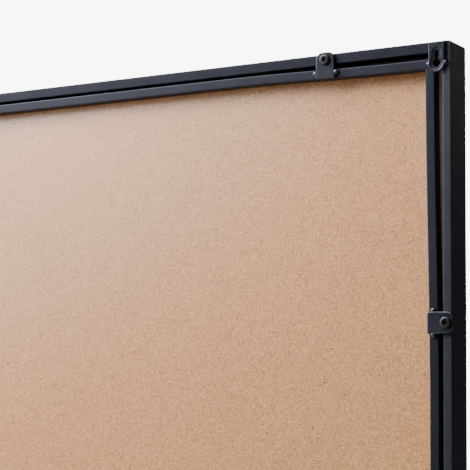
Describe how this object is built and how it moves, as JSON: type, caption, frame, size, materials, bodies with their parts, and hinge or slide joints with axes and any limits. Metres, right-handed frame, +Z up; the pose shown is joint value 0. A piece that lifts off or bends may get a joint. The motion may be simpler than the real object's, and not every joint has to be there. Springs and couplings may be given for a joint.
{
  "type": "cork bulletin board",
  "caption": "Rectangular cork notice board in a slim black metal frame: cork, softboard core and hardboard back held by an inner frame and turn clips, hung on keyhole plates.",
  "frame": {"origin": "centre of the wall plane that the rearmost faces, the clip screws' heads, rest on", "axes": "+X along the width, +Z up, +Y into the wall; the cork faces -Y; left and right are those of a person facing the cork"},
  "size_m": [0.9038, 0.0298, 0.6024],
  "materials": {
    "frame_black": "satin black enamel with a fine orange-peel grain",
    "hardware_black": "satin black enamel, worn brighter at the edges",
    "screw_black": "black zinc, satin",
    "key_aluminium": "die cast, bare",
    "cork": "agglomerated cork granules, matt",
    "softboard": "wood fibre softboard, matt",
    "hardboard": "pressed wood fibre, matt, finely speckled"
  },
  "bodies": {
    "board": {"outer_rail_top": "frame_black", "outer_rail_right": "frame_black", "outer_rail_bottom": "frame_black", "outer_rail_left": "frame_black", "inner_rail_top": "frame_black", "inner_rail_right": "frame_black", "inner_rail_bottom": "frame_black", "inner_rail_left": "frame_black", "cork_sheet": "cork", "core_board": "softboard", "backing_panel": "hardboard", "outer_corner_key_top_left": "key_aluminium", "outer_corner_key_top_right": "key_aluminium", "outer_corner_key_bottom_left": "key_aluminium", "outer_corner_key_bottom_right": "key_aluminium", "inner_corner_key_top_left": "key_aluminium", "inner_corner_key_top_right": "key_aluminium", "inner_corner_key_bottom_left": "key_aluminium", "inner_corner_key_bottom_right": "key_aluminium", "clip_screw_top_left": "screw_black", "clip_screw_top_middle": "screw_black", "clip_screw_top_right": "screw_black", "clip_screw_right_upper": "screw_black", "clip_screw_right_lower": "screw_black", "clip_screw_bottom_right": "screw_black", "clip_screw_bottom_middle": "screw_black", "clip_screw_bottom_left": "screw_black", "clip_screw_left_lower": "screw_black", "clip_screw_left_upper": "screw_black", "keyhole_hanger_left": "hardware_black", "keyhole_hanger_right": "hardware_black"},
    "clip_top_left": {"clip_top_left": "hardware_black"},
    "clip_top_middle": {"clip_top_middle": "hardware_black"},
    "clip_top_right": {"clip_top_right": "hardware_black"},
    "clip_right_upper": {"clip_right_upper": "hardware_black"},
    "clip_right_lower": {"clip_right_lower": "hardware_black"},
    "clip_bottom_right": {"clip_bottom_right": "hardware_black"},
    "clip_bottom_middle": {"clip_bottom_middle": "hardware_black"},
    "clip_bottom_left": {"clip_bottom_left": "hardware_black"},
    "clip_left_lower": {"clip_left_lower": "hardware_black"},
    "clip_left_upper": {"clip_left_upper": "hardware_black"}
  },
  "joints": [
    {"name": "turn_clip_top_left", "type": "hinge", "parent": "board", "child": "clip_top_left", "pos_m": [-0.352, -0.0028, 0.2956], "axis": [0, 1, 0], "continuous": true},
    {"name": "turn_clip_top_middle", "type": "hinge", "parent": "board", "child": "clip_top_middle", "pos_m": [0, -0.0028, 0.2956], "axis": [0, 1, 0], "continuous": true},
    {"name": "turn_clip_top_right", "type": "hinge", "parent": "board", "child": "clip_top_right", "pos_m": [0.352, -0.0028, 0.2956], "axis": [0, 1, 0], "continuous": true},
    {"name": "turn_clip_right_upper", "type": "hinge", "parent": "board", "child": "clip_right_upper", "pos_m": [0.4463, -0.0028, 0.103], "axis": [0, 1, 0], "continuous": true},
    {"name": "turn_clip_right_lower", "type": "hinge", "parent": "board", "child": "clip_right_lower", "pos_m": [0.4463, -0.0028, -0.103], "axis": [0, 1, 0], "continuous": true},
    {"name": "turn_clip_bottom_right", "type": "hinge", "parent": "board", "child": "clip_bottom_right", "pos_m": [0.352, -0.0028, -0.2956], "axis": [0, 1, 0], "continuous": true},
    {"name": "turn_clip_bottom_middle", "type": "hinge", "parent": "board", "child": "clip_bottom_middle", "pos_m": [0, -0.0028, -0.2956], "axis": [0, 1, 0], "continuous": true},
    {"name": "turn_clip_bottom_left", "type": "hinge", "parent": "board", "child": "clip_bottom_left", "pos_m": [-0.352, -0.0028, -0.2956], "axis": [0, 1, 0], "continuous": true},
    {"name": "turn_clip_left_lower", "type": "hinge", "parent": "board", "child": "clip_left_lower", "pos_m": [-0.4463, -0.0028, -0.103], "axis": [0, 1, 0], "continuous": true},
    {"name": "turn_clip_left_upper", "type": "hinge", "parent": "board", "child": "clip_left_upper", "pos_m": [-0.4463, -0.0028, 0.103], "axis": [0, 1, 0], "continuous": true}
  ]
}
